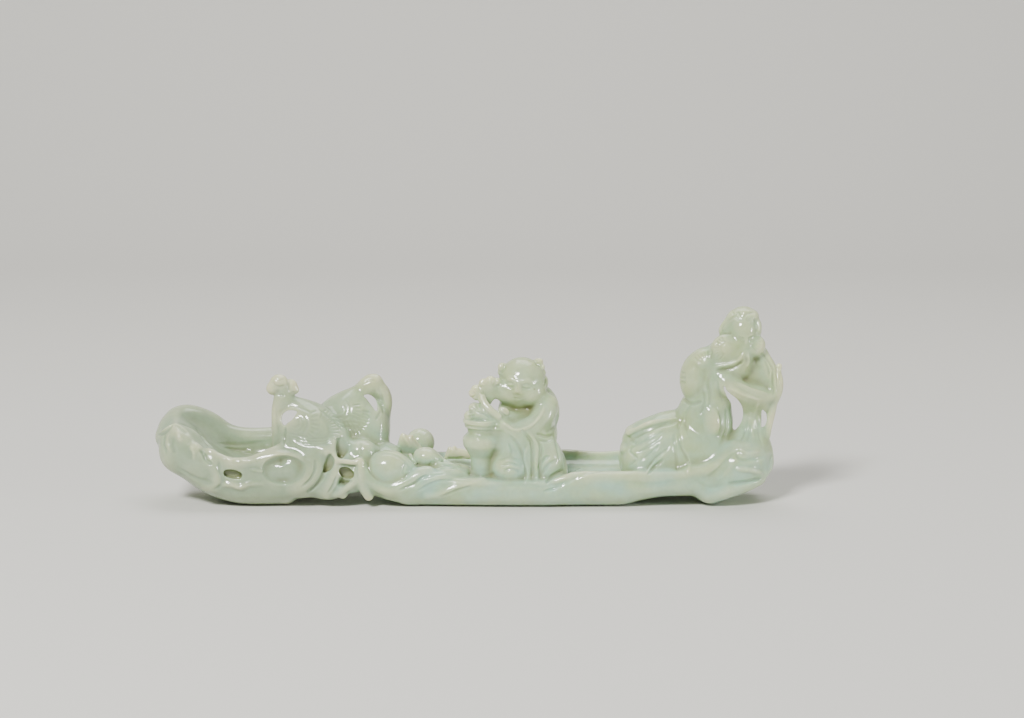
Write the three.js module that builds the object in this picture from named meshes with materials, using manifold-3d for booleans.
// A jade carving: an immortal and a boy in a hollow log raft, with a vase of fungus sprays,
// peaches and two cranes, all cut from one pebble.
// Millimetres, +Z up. The raft lies along X with its prow at -X, and the viewer stands at -Y.

import * as THREE from 'three';
import { mergeVertices } from 'three/addons/utils/BufferGeometryUtils.js';
import Module from 'manifold-3d';

const wasm = await Module();
wasm.setup();

// Driving sizes of the raft
const PROW_X = -99.4;
const STERN_X = 95.4;
const WALL = 3.2;
const OPEN_ABOVE = 40;
// Edges shorter than this fall away where two masses join
const SHORTEST_EDGE = 0.1;
// How far a flat facet may lie inside the round form that it stands for
const FACET_ERROR = 0.72;
// Stretches of a limb for each span between two of its points
const LIMB_STEPS = 1.35;

// Each profile gives a height or half width at a place along the raft: [x, value]
const KEEL = [[-99.4, 18], [-98, 14.2], [-95, 11], [-90, 6.8], [-84, 3.2], [-78, 0.9], [-72, -0.3],
  [-66, -0.6], [-58, -0.6], [-53, 2.2], [-46, 4.2], [-36, 4.8], [-29, 3.6], [-24, 1.2], [-19, -0.6],
  [47, -0.6], [55, 1.2], [62, 2.3], [70, 2.4], [74, 0.2], [77, -0.6], [80, 0.2], [86, 3.0], [91, 4.4],
  [93.4, 5.8], [94.6, 11], [95.4, 15]];
const FRONT_TOP = [[-100, 21], [-96, 23], [-93, 25.2], [-90, 23.4], [-87, 20.8], [-83, 18], [-80, 17.4],
  [-76, 16], [-70, 16.4], [-65, 18], [-60, 19.6], [-52, 18], [-42, 14.4], [-32, 11], [-22, 9.6],
  [-14, 12], [-8, 11], [0, 9.6], [12, 9], [24, 9.2], [31, 11.4], [37, 12.4], [68, 12.4], [75, 13],
  [80, 16.6], [86, 20.5], [92, 19], [95, 16]];
const BACK_TOP = [[-100, 21], [-98.5, 25], [-95.5, 28.2], [-91, 28.6], [-87.5, 27.8], [-83.7, 26.2],
  [-80.5, 24], [-77.5, 21.6], [-73, 20.3], [-60, 20.4], [-50, 19], [-38, 16.8], [-28, 15.2],
  [-10, 13], [2, 13.4], [30, 13.8], [42, 12.9], [52, 13.8], [75, 14.5], [84, 20], [92, 19], [95, 16]];
const HALF_WIDTH = [[-99.4, 3.5], [-98, 7.6], [-94, 11.8], [-88, 14.4], [-80, 16.4], [-66, 17],
  [-40, 16], [-20, 16], [38, 16.6], [60, 16], [73, 15], [84, 13.6], [91, 11.4], [94, 9], [95.4, 5]];
const WELL_FLOOR = [[-22, 13.4], [-14, 12], [-6, 10.2], [4, 8.2], [12, 8], [64, 8], [70, 10]];
const SCOOP_FLOOR = [[-95.5, 22], [-91, 17], [-85, 12], [-78, 9], [-68, 9], [-62, 12.5], [-58.5, 18]];

// Smooth value of a profile at x: a cubic through its points that doesn't overshoot flat runs
function along(profile, x) {
  const last = profile.length - 1;
  if (x <= profile[0][0]) return profile[0][1];
  if (x >= profile[last][0]) return profile[last][1];
  const slope = (i) => (profile[i + 1][1] - profile[i][1]) / (profile[i + 1][0] - profile[i][0]);
  const tangent = (i) => {
    if (i === 0) return slope(0);
    if (i === last) return slope(last - 1);
    const before = slope(i - 1);
    const after = slope(i);
    return before * after <= 0 ? 0 : 2 * before * after / (before + after);
  };
  let i = 0;
  while (profile[i + 1][0] < x) i += 1;
  const width = profile[i + 1][0] - profile[i][0];
  const t = (x - profile[i][0]) / width;
  const rise = (3 - 2 * t) * t * t;
  return profile[i][1] * (1 - rise) + profile[i + 1][1] * rise
    + width * t * (1 - t) * (tangent(i) * (1 - t) - tangent(i + 1) * t);
}

// A closed three.js geometry as a solid
function solid(geometry) {
  const bare = geometry.index ? geometry.toNonIndexed() : geometry.clone();
  bare.deleteAttribute('normal');
  bare.deleteAttribute('uv');
  const merged = mergeVertices(bare, 1e-4);
  const vertProperties = new Float32Array(merged.attributes.position.array);
  const corners = Array.from(merged.index.array);
  const triVerts = [];
  const corner = [0, 1, 2].map(() => new THREE.Vector3());
  let volume = 0;
  for (let i = 0; i < corners.length; i += 3) {
    const [a, b, c] = corners.slice(i, i + 3);
    if (a === b || b === c || a === c) continue;
    triVerts.push(a, b, c);
    [a, b, c].forEach((vertex, k) => corner[k].fromArray(vertProperties, 3 * vertex));
    volume += corner[0].dot(corner[1].clone().cross(corner[2]));
  }
  if (volume < 0) triVerts.reverse();
  return new wasm.Manifold(new wasm.Mesh({
    numProp: 3, vertProperties, triVerts: new Uint32Array(triVerts), tolerance: SHORTEST_EDGE,
  }));
}

function join(solids) {
  return solids.reduce((whole, piece) => whole.add(piece));
}

// Moves every vertex of a geometry by a function
function warp(geometry, move) {
  const position = geometry.attributes.position;
  const point = new THREE.Vector3();
  for (let i = 0; i < position.count; i += 1) {
    move(point.fromBufferAttribute(position, i));
    position.setXYZ(i, point.x, point.y, point.z);
  }
  return geometry;
}

// Sides that a round section needs, and how much its corners stand out so that it keeps its size
function roundness(radius) {
  const sides = Math.max(4, Math.round(Math.PI / Math.acos(1 - FACET_ERROR / Math.max(radius, 1.4))));
  return { sides, swell: 2 / (1 + Math.cos(Math.PI / sides)) };
}

// An egg-shaped mass: centre, half sizes, and turns about X, Y and Z in degrees
function egg(centre, radii, turn = [0, 0, 0]) {
  const { sides, swell } = roundness(Math.max(...radii));
  const geometry = new THREE.SphereGeometry(1, sides, Math.max(4, Math.ceil(sides / 2)));
  const turned = turn.map(THREE.MathUtils.degToRad);
  geometry.rotateX(Math.PI / 2);
  geometry.scale(...radii.map((radius) => radius * swell));
  geometry.applyMatrix4(new THREE.Matrix4().makeRotationFromEuler(new THREE.Euler(...turned, 'ZYX')));
  geometry.translate(...centre);
  return solid(geometry);
}

// A stem, limb or fold: a round bar through points, its radius changing along it.
// flat squeezes it along the direction given by across.
function limb(points, radii, { flat = 1, across = [0, 1, 0] } = {}) {
  const places = points.map((point) => new THREE.Vector3(...point));
  const curve = new THREE.CatmullRomCurve3(places, false, 'centripetal');
  const steps = Math.max(2, Math.round((points.length - 1) * LIMB_STEPS));
  const cap = 0.45 / steps;
  const ring = [new THREE.Vector2(0, 0), new THREE.Vector2(0.7, cap)];
  for (let i = 1; i < steps; i += 1) ring.push(new THREE.Vector2(1, i / steps));
  ring.push(new THREE.Vector2(0.7, 1 - cap), new THREE.Vector2(0, 1));
  const profile = radii.map((radius, i) => [i / (radii.length - 1), radius]);
  const thin = new THREE.Vector3(...across).normalize();
  const { sides, swell } = roundness(Math.max(...radii));
  const geometry = warp(new THREE.LatheGeometry(ring, sides), (p) => {
    const t = THREE.MathUtils.clamp(p.y, 0, 1);
    const ahead = curve.getTangentAt(t);
    const up = thin.clone().cross(ahead).normalize();
    const side = ahead.clone().cross(up).normalize();
    const radius = along(profile, t) * swell;
    const centre = curve.getPointAt(t);
    p.copy(centre.addScaledVector(up, p.x * radius).addScaledVector(side, p.z * radius * flat));
  });
  return solid(geometry);
}

// A straight passage from front to back at x and z, from depth near to depth far
function bore(x, z, radius, near, far) {
  const geometry = new THREE.CylinderGeometry(radius, radius, far - near, 9);
  geometry.translate(x, (near + far) / 2, z);
  return solid(geometry);
}

// A turned body from [radius, height] pairs, standing at a place
function turned(profile, centre, sides = 20, flute = () => 1) {
  const points = profile.map(([radius, height]) => new THREE.Vector2(radius, height));
  const geometry = warp(new THREE.LatheGeometry(points, sides), (p) => {
    const grow = flute(Math.atan2(p.z, p.x), p.y);
    p.set(p.x * grow, p.y, p.z * grow);
  });
  geometry.rotateX(Math.PI / 2);
  geometry.translate(...centre);
  return solid(geometry);
}

// A leaf or cloth edge: an outline in X and Z, given a thickness in Y and set at a place
function slab(outline, thickness, centre, turn = [0, 0, 0], bevel = 0.5) {
  const shape = new THREE.Shape(outline.map(([x, z]) => new THREE.Vector2(x, z)));
  const geometry = new THREE.ExtrudeGeometry(shape, {
    depth: thickness - 2 * bevel, bevelThickness: bevel, bevelSize: bevel,
    bevelOffset: -bevel, bevelSegments: 1,
  });
  geometry.translate(0, 0, bevel - thickness / 2);
  geometry.rotateX(Math.PI / 2);
  const angles = turn.map(THREE.MathUtils.degToRad);
  geometry.applyMatrix4(new THREE.Matrix4().makeRotationFromEuler(new THREE.Euler(...angles, 'ZYX')));
  geometry.translate(...centre);
  return solid(geometry);
}

// A length of hull with its own section at each station. section(x, angle) gives [y, z].
function loft(from, to, stations, sides, section) {
  const ring = [new THREE.Vector2(0, 0)];
  for (let i = 0; i <= stations; i += 1) ring.push(new THREE.Vector2(1, i / stations));
  ring.push(new THREE.Vector2(0, 1));
  return solid(warp(new THREE.LatheGeometry(ring, sides), (p) => {
    const x = THREE.MathUtils.lerp(from, to, p.y);
    const rim = Math.hypot(p.x, p.z) > 0.5;
    const [y, z] = rim ? section(x, Math.atan2(p.z, p.x)) : middle(section, x);
    p.set(x, y, z);
  }));
}

function middle(section, x) {
  const corners = [0, Math.PI / 2, Math.PI, -Math.PI / 2].map((angle) => section(x, angle));
  return [0, 1].map((k) => corners.reduce((sum, corner) => sum + corner[k], 0) / corners.length);
}

const squarer = (value, power) => Math.sign(value) * Math.abs(value) ** power;

// Outer skin of the raft: a round-bottomed log, its two edges at their own heights
function hullSection(x, angle) {
  const half = along(HALF_WIDTH, x);
  const y = half * squarer(Math.cos(angle), 0.62);
  const share = (y / half + 1) / 2;
  const top = THREE.MathUtils.lerp(along(FRONT_TOP, x), along(BACK_TOP, x), share);
  const keel = along(KEEL, x);
  const depth = top - keel;
  const sine = Math.sin(angle);
  const z = sine < 0 ? top - depth * (0.12 + 0.88 * squarer(-sine, 0.46)) : top - depth * 0.12 * (1 - sine);
  return [y, z];
}

// Hollow of the scoop and of the well, open above
function hollowSection(floor, wall) {
  return (x, angle) => {
    const half = along(HALF_WIDTH, x) - wall;
    const y = half * squarer(Math.cos(angle), 0.7);
    const sine = Math.sin(angle);
    const bed = floor(x);
    return [y, sine < 0 ? bed + 5 - 5 * squarer(-sine, 0.8) : bed + 5 + OPEN_ABOVE * sine];
  };
}

function raft() {
  const hull = loft(PROW_X, STERN_X, 26, 14, hullSection);
  const scoop = loft(-95.5, -58.5, 7, 9, hollowSection((x) => along(SCOOP_FLOOR, x), 3.6));
  const well = loft(-22, 70, 6, 9, hollowSection((x) => along(WELL_FLOOR, x), WALL));
  return hull.subtract(scoop).subtract(well);
}

// The prow's front lobe, its rolled tip and the lip's points
function prow() {
  return join([
    egg([-91.5, -7.5, 16.6], [7, 6, 8.6], [0, 24, 0]),
    egg([-83, -13.5, 14.5], [5.5, 3.0, 4.2], [0, 25, 0]),
    limb([[-96.6, -4, 20.6], [-95.6, 3, 23.6], [-91.6, 8.6, 25.2], [-85.6, 12, 23.4], [-79, 13.8, 19.6],
      [-70, 14.4, 18.6]], [2.8, 3.4, 3.2, 2.6, 2.0, 1.8]),
    limb([[-97.8, -6, 19.4], [-94, -9.5, 24.2], [-88.5, -12.5, 21.4], [-84.8, -14, 18.4]],
      [1.6, 2.2, 2.0, 1.1]),
    limb([[-83.4, -13.6, 17.6], [-80.5, -14.6, 17.8], [-76, -15.2, 15.6], [-69, -15.8, 16.2],
      [-63, -14.6, 18.4], [-57, -12, 20]], [0.9, 1.6, 1.4, 1.4, 1.4, 1.2]),
  ]);
}

// Ribs, twigs and stones of the pierced root in the raft's front
function roots() {
  const rib = (top, bottom, reach, radius) => limb(
    [top, [(top[0] + bottom[0]) / 2 + reach, -17.6, (top[2] + bottom[2]) / 2], bottom],
    [radius, radius * 1.15, radius]);
  return join([
    rib([-47.6, -12.5, 17.5], [-53.5, -13.5, 2.6], 2.8, 2.1),
    rib([-43.5, -12.5, 15.5], [-50, -13, 1.6], 2.2, 2.1),
    rib([-38.2, -13.5, 12.6], [-44.4, -13, 1.4], 1.6, 1.5),
    limb([[-35.6, -14.5, 16], [-35.5, -15.5, 11], [-33.6, -15.2, 6], [-31.6, -14.2, 0.9]],
      [1.6, 1.7, 1.8, 1.3]),
    limb([[-44.6, -14.8, 15.6], [-40, -15.2, 14.2], [-35.4, -15.2, 14]], [0.9, 0.8, 1.2]),
    limb([[-42.6, -13.6, 2.0], [-39.4, -15, 5.6], [-35, -15.4, 9.6]], [1.3, 1.4, 1.3]),
    limb([[-29.8, -13, 3.8], [-33, -14.8, 7.6], [-34.6, -15, 10]], [1.4, 1.4, 1.2]),
    egg([-33.6, -9.5, 17.6], [4.6, 4, 3.8]),
    egg([-29.6, -6, 15], [5.2, 5, 4]),
    egg([-60.3, -15.2, 10], [5.4, 2.2, 3.4]),
    limb([[-78, -16.4, 9.6], [-70, -17.4, 7.8], [-62, -17.4, 6.4], [-55, -16, 8.4]], [0.8, 1.2, 1.2, 0.8]),
  ]);
}

// Spaces bored between the ribs and beside the stone
function rootHollows() {
  return join([
    egg([-75.8, -17.2, 11.2], [3.2, 4, 1.5], [0, 10, 0]),
    egg([-60.3, -18.6, 10], [6, 3.2, 4.2]),
    egg([-46.3, -16, 13.4], [1.5, 6, 3.4], [0, 28, 0]),
    egg([-38.9, -15, 10.4], [2.3, 6, 2.1], [0, -20, 0]),
    egg([-39.6, -14, 17.2], [1.6, 3.4, 3]),
    egg([-37.4, -12, 1.6], [3.6, 14, 3.2], [0, -25, 0]),
  ]);
}

// Peaches, leaves and stalks between the cranes and the vase
function peaches() {
  return join([
    egg([-25.6, -11.4, 11.8], [7.6, 6, 6.1], [0, 4, 0]),
    egg([-19, -11.8, 11.2], [2.4, 2.6, 2.4], [0, 10, 0]),
    egg([-13.6, -6.4, 14.4], [4.2, 3.8, 3.6], [0, 8, 0]),
    egg([-15, 5, 16.6], [3.9, 4, 4.2]),
    slab([[-10, -4.5], [-8, 0], [-5.6, 2.4], [-3.6, 2.2], [-1.4, 1.8], [2.2, -1.6], [4, -4.5]], 3,
      [-17.2, 0.5, 18.6], [14, 0, 0], 0.8),
    slab([[-4.4, -2.6], [-3.4, 1], [-2.4, 1.8], [-1.2, 1.4], [-0.4, 2.4], [0.8, 1.6], [2.2, 0.8],
      [4.4, 0.4], [5, -2.6]], 2.4, [-3.6, 6.5, 13.6], [12, 0, 0], 0.6),
    egg([-24, 2, 12.6], [9, 7, 3.4]),
    limb([[-13, -3, 12.4], [-9.4, -4.6, 15], [-6, -3.6, 12.6], [-1, -3, 10.6]], [0.9, 0.9, 0.9, 0.8]),
  ]);
}

// Long lobes of bark that sweep up to the gunwale behind the big peach
function bark() {
  const lobe = (start, end, radius) => limb(
    [start, [(start[0] + end[0]) / 2, Math.min(start[1], end[1]) - 1, (start[2] + end[2]) / 2 - 0.8], end],
    [radius * 0.5, radius, radius * 0.7]);
  return join([
    lobe([-24, -13.6, 4.4], [-13.4, -14.2, 12], 2.2),
    lobe([-18, -14.6, 4], [-6, -14.8, 10.4], 1.8),
    lobe([-30, -12, 4], [-20, -14.6, 4.6], 2.2),
  ]);
}

// One crane lying with its neck turned back and its folded wing laid along its side
function crane({ body, radii, tilt, wing, wingRadii, neck, neckRadii, head, beak }) {
  return join([
    egg(body, radii, [0, tilt, 0]),
    limb(neck, neckRadii),
    egg(wing, wingRadii, [0, tilt, 0]),
    egg(head, [2.3, 1.9, 2.1]),
    limb(beak, [1.6, 1.1, 0.8]),
  ]);
}

const CRANES = [
  {
    body: [-50.4, -6, 24], radii: [11.4, 6.2, 7.6], tilt: 22,
    wing: [-49, -9.6, 23.6], wingRadii: [9.4, 4, 4.8],
    neck: [[-59.6, -7, 18], [-61.6, -7, 24], [-61.6, -6.6, 30], [-59.4, -6.4, 34.4]],
    neckRadii: [3.0, 2.1, 1.9, 2.0],
    head: [-59.2, -6.4, 34.8], beak: [[-59, -6.4, 34.4], [-53.6, -5.4, 32], [-47.6, -4, 28.6]],
  },
  {
    body: [-39.5, 4.5, 24], radii: [12.2, 6.4, 8], tilt: -24,
    wing: [-40, 0.6, 25.4], wingRadii: [9.6, 4, 5],
    neck: [[-31, 5, 15.4], [-27.6, 5, 21], [-26.6, 4.6, 28.6], [-28.2, 4, 34], [-31, 4, 36.8]],
    neckRadii: [3.4, 2.8, 2.1, 2.0, 2.3],
    head: [-31, 4, 37], beak: [[-31, 4, 37], [-37, 4, 33.6], [-43, 3.8, 29.4]],
  },
];

// Gaps through the crooks of the two necks
function craneGaps() {
  return join([
    bore(-58.3, 27, 1.6, -16, 6),
    bore(-56.6, 28.5, 1.3, -16, 6),
    bore(-32.9, 32.4, 1.3, -6, 16),
    bore(-30.9, 29.8, 1.6, -6, 16),
  ]);
}

// A fungus head or blossom: a thick disc with a scalloped edge, facing the viewer
function rosette(centre, radius, lobes, thickness = 3) {
  const outline = [];
  const corners = lobes * 3;
  for (let i = 0; i < corners; i += 1) {
    const angle = 2 * Math.PI * i / corners;
    const reach = radius * (i % 3 === 0 ? 0.78 : 1);
    outline.push([reach * Math.cos(angle), reach * Math.sin(angle)]);
  }
  return slab(outline, thickness, centre, [0, 0, 0], 0.7);
}

function craneSprig() {
  return join([
    rosette([-60.6, -6.4, 38.4], 3.5, 5, 3.4),
    egg([-55.8, -6.2, 37.6], [1.5, 1.5, 1.9], [0, 20, 0]),
    limb([[-60.4, -6.4, 36], [-56, -6.2, 37.6]], [1.8, 1.3]),
  ]);
}

// Vase: a turned body whose mouth is cut hollow where it shows, right of the stems that fill the rest
const VASE = [4.6, -7.4, 0];
const VASE_RIM = 27.4;
const MOUTH_CENTRE = [VASE[0] + 1.2, VASE[1] + 1.2, VASE_RIM];
const MOUTH_RADII = [4.0, 3.6, 3.2];
const VASE_PROFILE = [[0, 8], [4.3, 8], [4.2, 9.2], [3.4, 10.4], [3.5, 13.4], [5.2, 16.4], [6.6, 19.6],
  [6.2, 21.6], [4.9, 23.6], [5.0, 25.2], [6.2, 26.4], [6.2, VASE_RIM], [0, VASE_RIM]];

function vaseWithSprays() {
  return join([
    turned(VASE_PROFILE, VASE, 12).subtract(egg(MOUTH_CENTRE, MOUTH_RADII)),
    rosette([2.2, -7, 35.6], 3.1, 5),
    rosette([6, -6.4, 38.6], 3.3, 6),
    rosette([0.4, -7.6, 30.6], 3.4, 5),
    egg([-1, -7.4, 26.4], [1.3, 2, 2.6]),
    limb([[9.4, -8, 27.4], [6, -7.6, 31.6], [3.6, -7, 35]], [1.3, 1.4, 1.2]),
    limb([[3.4, -7, 26.6], [2.6, -7.4, 30], [2.4, -7, 34]], [2.2, 1.5, 1.2]),
    egg([5, -6.6, 34.6], [3.4, 1.6, 3.6]),
  ]);
}

// The boy kneels behind the vase, cheek against the sprays and both arms round the neck of it
function boy() {
  return join([
    egg([16.4, -3, 37.6], [7.7, 7.2, 7.9]),
    limb([[11.6, -3.4, 42.4], [9.6, -3.6, 42.8]], [1.5, 1.2]),
    limb([[21.6, -2.4, 42.4], [22.8, -2, 45], [22.6, -2, 45.6]], [1.5, 1.4, 1.0]),
    egg([24, -2, 38], [1.1, 1.6, 2]),
    egg([21.6, 1.5, 29], [7, 6.6, 8.4], [0, -8, 0]),
    egg([17.6, -2, 23], [8.2, 6.6, 8]),
    limb([[23.8, -5.4, 31.4], [22, -9.4, 25], [16.4, -11.4, 23.4], [10, -11.6, 25.8], [5.6, -11, 26.6]],
      [3.4, 3.4, 2.6, 1.8, 1.3]),
    limb([[14.6, 0, 28], [10.8, -6.4, 30], [9.4, -9.6, 28.4]], [3, 2, 1.6]),
    limb([[17.6, -9.6, 24], [19.2, -11.6, 17], [19.8, -13, 9.4]], [2.4, 2.6, 3], { flat: 0.6 }),
    egg([19, 2, 13], [12.6, 8.5, 9.4]),
    limb([[12.6, -7, 18.6], [12.4, -9, 14.4], [12.4, -10.6, 10]], [2.2, 4.6, 5.6]),
    egg([25.6, -8.4, 13.4], [5.6, 5.6, 8.6], [0, -8, 0]),
    limb([[30, -3, 16], [31.2, -5, 11], [29.4, -12, 8.4], [23.6, -16, 5.8]], [1.6, 1.6, 1.5, 1.1]),
  ]);
}

// The stern: a curled root end that carries a fluted stump
function stern() {
  const flute = (angle, height) => 1 + 0.07 * Math.cos(7 * angle) * Math.min(1, height / 20);
  return join([
    egg([86, -3.5, 15.6], [9.4, 11, 8], [0, -22, 0]),
    turned([[0, 12], [5.6, 12], [5.2, 20], [4.3, 24], [3.5, 29], [3.6, 33.6], [4.4, 36], [0, 37]],
      [89.4, -3, 0], 14, flute),
    limb([[68.5, -14.6, 11.2], [77, -13.8, 12.2], [82.2, -11.6, 17.4], [85, -8.6, 20.8]], [1.6, 2, 2, 1.4]),
    limb([[76, -15, 7], [81.6, -14, 13.4], [86, -10.6, 18.6]], [1.1, 1.5, 1.2]),
    limb([[80, -14.6, 8], [86.6, -13, 12.6], [92.6, -8.4, 14.4]], [1.2, 1.7, 1.6]),
    limb([[75.6, -11.6, 3], [83, -12, 6], [91, -7.4, 11.4], [94.4, -3, 15.4]], [2, 2.6, 2.6, 2.2]),
    limb([[93, -4, 21], [93.6, -3.4, 16], [92, -6, 10]], [1.4, 1.9, 2.2]),
  ]);
}

// Folds of the train that sweep from the hip over the floor of the raft
function train() {
  const folds = [];
  for (let i = 0; i < 4; i += 1) {
    const drop = i / 3;
    folds.push(limb([
      [74 - 3 * drop, -5 - 6 * drop, 27 - 9 * drop],
      [63 - 2 * drop, -7 - 5 * drop, 23.4 - 9.6 * drop],
      [52.6 + 2.4 * drop, -6.6 - 5 * drop, 18 - 8 * drop],
    ], [1.1, 1.9, 1.0]));
  }
  return join([
    egg([62, 0, 16.6], [14.4, 9.6, 10.6], [0, -24, 0]),
    egg([60, 0, 23.6], [11, 5, 4], [0, -22, 0]),
    egg([52.6, -2, 12.6], [4.4, 9, 6.6]),
    ...folds,
  ]);
}

// The immortal: robed body, wide sleeves, capped and bearded head bowed over the stump
function immortal() {
  return join([
    egg([74.4, -0.5, 23], [9.6, 9.6, 15], [0, 4, 0]),
    egg([75, -1.5, 40.2], [7.2, 7, 9.6], [0, 10, 0]),
    limb([[75.4, -3, 49.6], [80, -3, 50], [84.6, -4, 49]], [2.4, 3.4, 3.4]),
    egg([84.6, -5, 46.4], [6.4, 5, 6.4]),
    egg([90.6, -1.8, 42.2], [5.2, 2.2, 6.6]),
    limb([[81.4, -5.6, 44], [84.6, -7.4, 38.6], [91, -7.6, 36.4], [96, -6, 35.6]], [3.6, 3.6, 2.4, 1.6]),
    limb([[90.6, -3, 50], [94.4, -3, 46.6], [97.6, -4.6, 42], [97.4, -5, 38]], [2.4, 2.0, 1.7, 1.6]),
    egg([97.6, -5, 38.4], [1.9, 2.2, 4.4], [0, 6, 0]),
    limb([[98.2, -5, 41], [98.6, -5, 44.6]], [1.0, 0.6]),
    limb([[97.6, -5, 36], [96.4, -5, 28], [94.6, -4.6, 20.4]], [1.6, 1.2, 0.9]),
    limb([[95.4, -5, 35], [94.6, -4.6, 28], [93.6, -4.4, 21]], [1.4, 1.0, 0.8]),
    limb([[77.6, -9.4, 30], [78.6, -10.2, 25.4], [78.4, -9.8, 24]], [1.9, 2.2, 1.5]),
  ]);
}

function immortalHead() {
  const strands = [];
  for (let i = 0; i < 3; i += 1) {
    const place = 1.6 * (i - 1);
    strands.push(limb([
      [87 + place * 1.3, -8.8 + 0.35 * place * place, 52],
      [87.4 + place * 1.6, -9.2 + 0.4 * place * place, 48.6],
      [87.2 + place * 1.4, -9 + 0.4 * place * place, 45.6 + 0.3 * place * place],
    ], [0.7, 0.9, 0.4]));
  }
  return join([
    egg([86.2, -4, 54.6], [5.4, 5.4, 6.6]),
    egg([86.8, -3.6, 59.4], [4.2, 4.4, 3.3]),
    limb([[85, -3, 59.4], [82, -3, 55.6], [80, -3.4, 53]], [2.8, 3.4, 2.4]),
    egg([82, -4.6, 49.8], [4.8, 4.6, 4.6]),
    egg([91.2, -4.2, 50.8], [2.8, 4, 3.6]),
    ...strands,
  ]);
}

// Spaces that pass between the robe, the stump, the arms and the hanging sash
function immortalGaps() {
  return join([
    bore(84.2, 33.6, 1.6, -20, 20),
    bore(85.2, 30.4, 2.1, -20, 20),
    bore(85.2, 27, 1.7, -20, 20),
    bore(94, 27.4, 0.9, -20, 20),
    bore(94, 25, 0.8, -20, 20),
    egg([91.4, -7.4, 42.8], [2.2, 3.6, 4], [0, 10, 0]),
  ]);
}

// A flat cut below leaves the carving standing on three polished lands
function belowGround() {
  const depth = 10;
  const geometry = new THREE.BoxGeometry(240, 80, depth);
  geometry.translate(0, 0, -depth / 2);
  return solid(geometry);
}

function carving() {
  const rootwork = join([raft(), prow(), roots(), bark(), stern()]).subtract(rootHollows());
  const birds = join([...CRANES.map(crane), craneSprig()]).subtract(craneGaps());
  const sage = join([immortal(), train(), immortalHead()]);
  const whole = join([rootwork, peaches(), birds, vaseWithSprays(), boy(), sage]);
  return whole.subtract(immortalGaps()).subtract(belowGround());
}

function meshOf(name, piece, material) {
  const { vertProperties, triVerts } = piece.getMesh();
  const geometry = new THREE.BufferGeometry();
  geometry.setAttribute('position', new THREE.BufferAttribute(vertProperties, 3));
  geometry.setIndex(new THREE.BufferAttribute(triVerts, 1));
  geometry.computeVertexNormals();
  const mesh = new THREE.Mesh(geometry, material);
  mesh.name = name;
  return mesh;
}

const jade = new THREE.MeshStandardMaterial({ color: 0xb8c2ab, roughness: 0.25, metalness: 0 });

const group = new THREE.Group();
group.add(meshOf('jade_raft_group', carving(), jade));

export default group;
